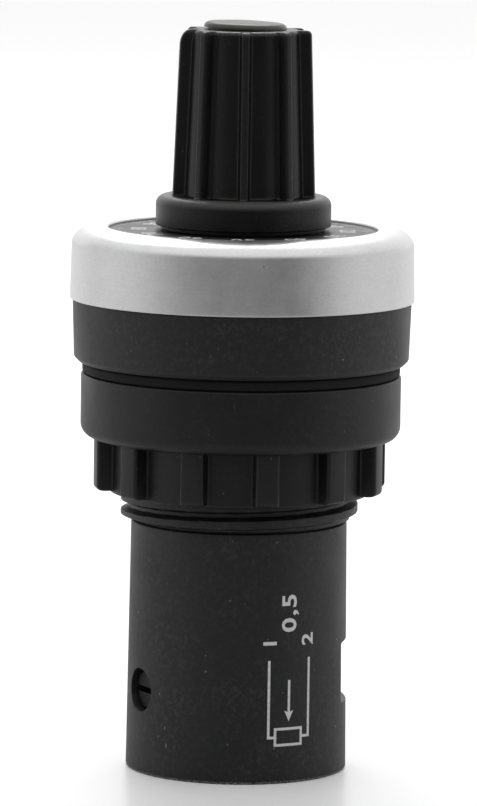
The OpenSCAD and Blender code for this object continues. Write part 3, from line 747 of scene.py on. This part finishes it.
def makeBarrel(s):
    # outline of housing, relief, sleeve, head and deck turned about Z, with the thread's ridge on the sleeve
    flange = seat["flange"]
    headFoot = seat["bezelFoot"]
    deck = seat["deck"]
    head = s["headR"]
    foot = fillets([(s["inR"], 0, 0.15), (s["footR"], 0, 0.22), (s["topR"], s["houseTop"], 0.16),
                    (s["reliefR"], s["houseTop"], 0.03)], 6, False)
    foot = np.concatenate([foot[:8], stretch(foot[7], foot[8], 44), foot[8:]])
    lower = np.array([[s["reliefR"], s["threadFoot"]]])
    zs = np.linspace(s["threadFoot"], flange, 208)
    thread = np.stack([np.full(len(zs), s["rootR"]), zs], -1)
    rim = fillets([(s["rootR"], flange, 0), (s["flangeLowR"] - s["chamfer"], flange, 0.2),
                   (s["flangeLowR"], flange + s["chamfer"], 0.25), (s["flangeTopR"], headFoot, 0.12),
                   (head[0], headFoot, 0), (head[1], seat["crest"] - s["headDrop"], 0), (head[2], deck, 0),
                   (s["boreR"], deck, 0), (s["boreR"], deck - s["deckT"], 0),
                   (s["inR"], deck - s["deckT"], 0), (s["inR"], s["insideFoot"], 0)], 6, False)[1:]
    rows = np.concatenate([foot, lower, thread, rim])
    angles = evenAngles(s["columns"])
    r = np.repeat(rows[:, :1], len(angles), 1)
    z = np.repeat(rows[:, 1:], len(angles), 1)
    start = len(foot) + 1
    stop = start + len(zs)
    r[start:stop] += (s["crestR"] - s["rootR"]) * threadOut(s, angles[None, :], z[start:stop])
    return ringMesh("barrelBody", r, z, angles)


def holeCutter(s, degrees):
    # a bore along a radius with a small flare at the housing's surface, turned about X, then about Z
    a = math.radians(degrees)
    outer = barrelShape["footR"]
    r = s["radius"]
    rows = np.array([[0, s["from"]], [r, s["from"]], [r, outer - 0.32], [r + s["flare"], outer],
                     [r + s["flare"] + 0.6, outer + 0.9], [0, outer + 0.9]])
    obj = ringMesh("holeCutter", rows[:, 0], rows[:, 1], evenAngles(72), False)
    moved(obj, lambda up, side, out: (out * math.cos(a) - side * math.sin(a),
                                      out * math.sin(a) + side * math.cos(a), s["height"] * mm + up))
    turnOutward(obj)
    return obj


def windowCutter(s):
    # a box through the wall with rounded corners and a flare at the surface
    w = s["width"] / 2
    h = s["height"] / 2
    c = s["corner"]
    t = np.linspace(0, math.pi / 2, 7)
    corner = np.stack([np.cos(t), np.sin(t)], -1) * c
    loop = []
    for sx, sz, first in ((1, 1, 0), (-1, 1, 1), (-1, -1, 0), (1, -1, 1)):
        arc = corner * [sx, sz]
        arc = arc[::-1] if first else arc
        loop.append(arc + [sx * (w - c), sz * (h - c)])
    loop = np.concatenate(loop)
    middle = s["foot"] + h
    rings = []
    for x, grow in s["flare"]:
        flat = loop * np.array([1 + grow / w, 1 + grow / h])
        rings.append(np.stack([np.full(len(flat), x), flat[:, 0], flat[:, 1] + middle], -1))
    ends = np.array([[s["flare"][0][0], 0, middle], [s["flare"][-1][0], 0, middle]])
    pts = np.concatenate(rings + [ends]) * mm
    n = len(loop)
    i = np.arange(3)[:, None] * n
    j = np.arange(n)[None, :]
    on = (j + 1) % n
    quads = np.stack([i + j, i + on, i + n + on, i + n + j], -1).reshape(-1, 4)
    j = j.ravel()
    on = on.ravel()
    capA = np.stack([j, on, np.full(n, 4 * n)], -1)
    capB = np.stack([3 * n + j, 3 * n + on, np.full(n, 4 * n + 1)], -1)
    mesh = bpy.data.meshes.new("windowCutter")
    mesh.from_pydata(pts.tolist(), [], quads.tolist() + capA.tolist() + capB.tolist())
    obj = bpy.data.objects.new("windowCutter", mesh)
    bpy.context.collection.objects.link(obj)
    turnOutward(obj)
    return obj


barrel = makeBarrel(barrelShape)
cutAway(barrel, [holeCutter(holeShape, d) for d in holeShape["turns"]] + [windowCutter(windowShape)])
shade(barrel, 30)
dress(barrel, finishes["bodyBlack"], "base", "body_black", "barrel")
print("barrel made")


# Printed symbol on the front of the housing

printShape = {
    "line": 0.23, "raise": 0.012, "widen": 1.3, "bold": 0.03,
    "box": (3.45, 3.4, 2.53, 1.4), "leads": ((2.83, 10.8), (6.75, 10.9)), "leadFoot": 4.07,
    "wiper": (4.72, 5.45, 9.05), "arrow": (0.85, 0.95),
    "figures": (("1", 2.95, 12.3, 1.2), ("2", 6.63, 12.5, 1.2), ("0,5", 4.73, 14.9, 1.38)),
}


def housingR(z):
    # the housing narrows evenly from its foot to its top
    s = barrelShape
    return s["footR"] + (s["topR"] - s["footR"]) * z / s["houseTop"]


def onHousing(u, v, h):
    # u is the length round the housing from the front, v the height
    r = housingR(v) - sunk + h
    a = u / housingR(v) - math.pi / 2
    return r * np.cos(a), r * np.sin(a), v + 0 * u


def bar(u0, v0, u1, v1, width):
    # a straight printed line from (u0, v0) to (u1, v1)
    length = math.hypot(u1 - u0, v1 - v0)
    du, dv = (u1 - u0) / length, (v1 - v0) / length
    count = max(2, int(length / 0.3) + 1)

    def surface(x, y, h):
        return onHousing(u0 + du * y + dv * x, v0 + dv * y - du * x, h)
    return asTriangles(stripOn(surface, np.array([-width / 2, width / 2]), np.linspace(0, length, count),
                               printShape["raise"] + sunk))


def makePrint(s):
    # resistor box, its two leads, the wiper's arrow and plain figures that read upwards
    w = s["line"]
    u, v, bw, bh = s["box"]
    parts = [bar(u - w / 2, v, u + bw + w / 2, v, w), bar(u - w / 2, v + bh, u + bw + w / 2, v + bh, w),
             bar(u, v + w / 2, u, v + bh - w / 2, w), bar(u + bw, v + w / 2, u + bw, v + bh - w / 2, w)]
    for side, (lead, end) in zip((u - w / 2, u + bw + w / 2), s["leads"]):
        parts.append(bar(lead, s["leadFoot"] - w / 2, lead, end, w))
        parts.append(bar(lead + math.copysign(w / 2, side - lead), s["leadFoot"], side, s["leadFoot"], w))
    x, tip, end = s["wiper"]
    wide, tall = s["arrow"]
    parts.append(bar(x, tip + tall * 0.8, x, end, w))
    head = figureFrom(np.array([[0, 0], [wide / 2, tall], [0, tall * 0.8], [-wide / 2, tall]]))
    parts.append(raised(head, lambda a, b, h: onHousing(x + a, tip + b, h), s["raise"] + sunk))
    for text, u, v, height in s["figures"]:
        shape = figures(text, height, "housingFigure", s["bold"])
        shape[0][:, 0] *= s["widen"]
        parts.append(raised(shape, lambda a, b, h, u=u, v=v: onHousing(u - b, v + a, h), s["raise"] + sunk))
    return joined("housingPrint", parts)


dress(makePrint(printShape), finishes["printWhite"], "base", "body_black")
print("print made")


# Gasket and nut

gasketShape = {"outR": 13.85, "inR": 10.43, "softs": (0.1, 0.3, 0.3, 0.1)}
gasket = flatRing("gasketRing", gasketShape["inR"], gasketShape["outR"], low("panel_gasket"),
                  high("panel_gasket"), gasketShape["softs"], 5)
dress(gasket, finishes["gasketRubber"], "gasket", "gasket_rubber", "panel_gasket")

nutShape = {
    "boreR": 10.42, "rootR": 11.45, "ribR": 12.83, "ribs": 12, "ribW": 2.1, "ribTurn": 11, "flangeR": 13.95,
    "gripH": 4.75, "round": 1.2, "tipSoft": 0.3, "rootSoft": 0.2, "ribRise": 0.25, "ribEnd": 0.45,
}


def nutSection(s):
    # plan of the ribbed grip: rib tip, fillet, straight flank, fillet and the grip's circle
    side = s["ribW"] / 2
    root = s["rootR"]
    a = math.asin(side / root) + 0.3 / root
    rib = fillets([(s["ribR"], 0, 0), (math.sqrt(s["ribR"] ** 2 - side ** 2), side, s["tipSoft"]),
                   (math.sqrt(root ** 2 - side ** 2) + 0.01, side, s["rootSoft"]),
                   (root * math.cos(a), root * math.sin(a), 0)], 6, False)
    t = np.linspace(a, math.pi / s["ribs"], 8)[1:]
    half = np.concatenate([rib, np.stack([root * np.cos(t), root * np.sin(t)], -1)])
    return repeated(half, s["ribs"], math.radians(s["ribTurn"]) - math.pi / 2)


def makeNut(s):
    # outline turned about Z; the ribs stand out of the grip where the row's weight is 1
    foot = seat["nutFoot"]
    top = seat["nutTop"]
    under = foot + s["gripH"]
    root = s["rootR"]
    end = s["ribEnd"]
    section, angles = nutSection(s)
    base = fillets([(s["boreR"], foot, 0.15), (root, foot, 0.22), (root, foot + 1, 0)], 5, False)
    t = np.linspace(0, math.pi / 2, 6)
    ribFoot = foot + s["ribRise"]
    gripZ = np.concatenate([[ribFoot - 0.01], ribFoot + end * (1 - np.cos(t)), [under - 0.5, under]])
    grip = np.stack([np.full(len(gripZ), root), gripZ], -1)
    weight = np.concatenate([[0], 1 - end * (1 - np.sin(t)) / (s["ribR"] - root), [1, 1]])
    rim = fillets([(root, under, 0), (s["flangeR"], under, s["round"]), (s["flangeR"], top, 0.22),
                   (s["boreR"], top, 0.1), (s["boreR"], foot + 0.2, 0)], 12, False)[1:]
    rows = np.concatenate([base[:-1], grip, rim])
    w = np.concatenate([np.zeros(len(base) - 1), weight, np.zeros(len(rim))])
    r = rows[:, :1] + w[:, None] * (section - root)[None, :]
    obj = ringMesh("nutBody", r, rows[:, 1:], angles)
    shade(obj, 40)
    return obj


dress(makeNut(nutShape), finishes["nutBlack"], "nut", "body_black", "lock_nut")
print("gasket and nut made")


# Inner parts keep their CAD shape

innerFinish = {
    "brass": ["knob_collet", "pot_shaft", "pot_bushing", "wiper_contact", "terminal_1", "terminal_2",
              "terminal_3"],
    "steel": ["collet_nut", "shaft_clip", "pot_washer", "pot_nut", "collector_ring", "pot_cover",
              "pot_tag_1", "pot_tag_2", "pot_tag_3", "clamp_plate_1", "clamp_plate_2", "clamp_plate_3"],
    # the terminal screws get the near-black painted shade of their holes
    "screwPaintedShade": ["terminal_screw_1", "terminal_screw_2", "terminal_screw_3"],
    "boardBrown": ["track_wafer"],
    "trackCarbon": ["resistive_track"],
    "rotorCream": ["pot_rotor"],
    "wireSkin": ["lead_1", "lead_2", "lead_3"],
    "insertBlack": ["terminal_base"],
}
for finish, nodes in innerFinish.items():
    for node in nodes:
        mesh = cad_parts[node].data
        mesh.materials.clear()
        mesh.materials.append(finishes[finish])
print("inner parts dressed")


# Studio

studio = {
    # level of the room by direction in degrees, 0 at the side of the room before the object's front
    "levels": ((-180, 0.72), (-122, 0.69), (-102, 0.74), (-80, 0.72), (-64, 0.57), (-50, 0.38),
               (-36, 0.26), (-20, 0.21), (0, 0.18), (18, 0.17), (32, 0.14), (42, 0.19), (53, 0.34),
               (62, 0.53), (72, 0.66), (90, 0.72), (104, 0.74), (122, 0.7), (180, 0.72)),
    "topLevel": 0.92, "topFrom": (0.32, 0.64), "behindFrom": (0.5, 0.8),
    "floorSize": 6.0, "floorTone": 0.9, "floorGlow": 0.12, "floorRough": 0.3, "nearFloor": 0.5,
    "near": (0.04, 0.25),
    "lampAt": (-0.04, 0.45, 0.6), "lampTo": (0, 0, 0.03), "lampSize": 0.5, "lampPower": 2.5,
}


def mix(add, factor, a, b):
    return add("ShaderNodeMix", {"Factor": factor, "A": a, "B": b}, data_type="FLOAT").outputs[0]


def fromFront(add, way, s):
    # dark before the object's front, pale to the sides and behind
    part = add("ShaderNodeSeparateXYZ", {"Vector": way})
    ahead = calc(add, "MULTIPLY", part.outputs[1], -1.0)
    angle = calc(add, "ARCTAN2", part.outputs[0], ahead)
    level = s["levels"][0][1]
    for (a0, v0), (a1, v1) in zip(s["levels"], s["levels"][1:]):
        step = ramp(add, angle, math.radians(a0), math.radians(a1), 0.0, v1 - v0)
        level = calc(add, "ADD", step, level)
    return level


def makeFloor(s):
    # the camera sees it pale with the object's shadow; its bounce follows the room's levels
    mesh = bpy.data.meshes.new("floor")
    w = s["floorSize"] / 2
    mesh.from_pydata([(-w, -w, 0), (w, -w, 0), (w, w, 0), (-w, w, 0)], [], [(0, 1, 2, 3)])
    obj = bpy.data.objects.new("floor", mesh)
    bpy.context.collection.objects.link(obj)
    mat, tree, add, shader, place = newMaterial("floorPale")
    shader.inputs["Roughness"].default_value = s["floorRough"]
    path = add("ShaderNodeLightPath")
    seen = calc(add, "MAXIMUM", path.outputs["Is Camera Ray"], path.outputs["Is Transmission Ray"])
    near = ramp(add, radiusOf(add, place), *s["near"], 1.0, 0.0)
    bounce = mix(add, near, fromFront(add, place, s), s["nearFloor"])
    tone = mix(add, seen, bounce, s["floorTone"])
    tree.links.new(add("ShaderNodeCombineXYZ", {"X": tone, "Y": tone, "Z": tone}).outputs[0],
                   shader.inputs["Base Color"])
    glow = add("ShaderNodeEmission", {"Color": (1, 1, 1, 1),
                                      "Strength": calc(add, "MULTIPLY", seen, s["floorGlow"])})
    both = add("ShaderNodeAddShader", {0: shader.outputs[0], 1: glow.outputs[0]})
    tree.links.new(both.outputs[0], tree.nodes["Material Output"].inputs["Surface"])
    mesh.materials.append(mat)


def makeWorld(s):
    # the room's levels, white behind the object for reflections, pale above, white where the camera looks
    world = bpy.data.worlds.new("studio")
    bpy.context.scene.world = world
    world.use_nodes = True
    tree = world.node_tree
    add = nodeTree(tree)
    way = add("ShaderNodeTexCoord").outputs["Generated"]
    part = add("ShaderNodeSeparateXYZ", {"Vector": way})
    path = add("ShaderNodeLightPath")
    behind = ramp(add, part.outputs[1], *s["behindFrom"])
    shown = calc(add, "MULTIPLY", behind, path.outputs["Is Glossy Ray"])
    level = mix(add, shown, fromFront(add, way, s), 1.0)
    level = mix(add, ramp(add, part.outputs[2], *s["topFrom"]), level, s["topLevel"])
    seen = calc(add, "MAXIMUM", path.outputs["Is Camera Ray"], path.outputs["Is Transmission Ray"])
    level = mix(add, seen, level, 1.0)
    back = tree.nodes["Background"]
    back.inputs["Color"].default_value = (1, 1, 1, 1)
    tree.links.new(level, back.inputs["Strength"])


def areaLight(name, place, target, size, power):
    data = bpy.data.lights.new(name, "AREA")
    data.shape = "DISK"
    data.size = size
    data.energy = power
    obj = bpy.data.objects.new(name, data)
    bpy.context.collection.objects.link(obj)
    way = Vector(target) - Vector(place)
    obj.location = place
    obj.rotation_euler = way.to_track_quat("-Z", "Y").to_euler()


# distances in metres, angles in degrees, focal length and frame in pixels
camera = {
    "distance": 0.5, "height": 0.0949, "side": -0.00019, "pitch": 7.17, "roll": 0.84, "focal": 5779,
    "frameHeight": 806, "sensor": 24,
}


def makeCamera(s):
    data = bpy.data.cameras.new("camera")
    data.sensor_fit = "VERTICAL"
    data.sensor_height = s["sensor"]
    data.lens = s["sensor"] * s["focal"] / s["frameHeight"]
    data.clip_start = 0.01
    obj = bpy.data.objects.new("camera", data)
    bpy.context.collection.objects.link(obj)
    obj.location = (s["side"], -s["distance"], s["height"])
    # rolled about its own axis, then tilted about X
    tilt = Matrix.Rotation(math.radians(90 - s["pitch"]), 3, "X")
    roll = Matrix.Rotation(math.radians(s["roll"]), 3, "Z")
    obj.rotation_euler = (tilt @ roll).to_euler()
    bpy.context.scene.camera = obj


makeFloor(studio)
makeWorld(studio)
areaLight("topSoft", studio["lampAt"], studio["lampTo"], studio["lampSize"], studio["lampPower"])
makeCamera(camera)
bpy.context.scene.view_settings.view_transform = "Standard"
print("studio made")
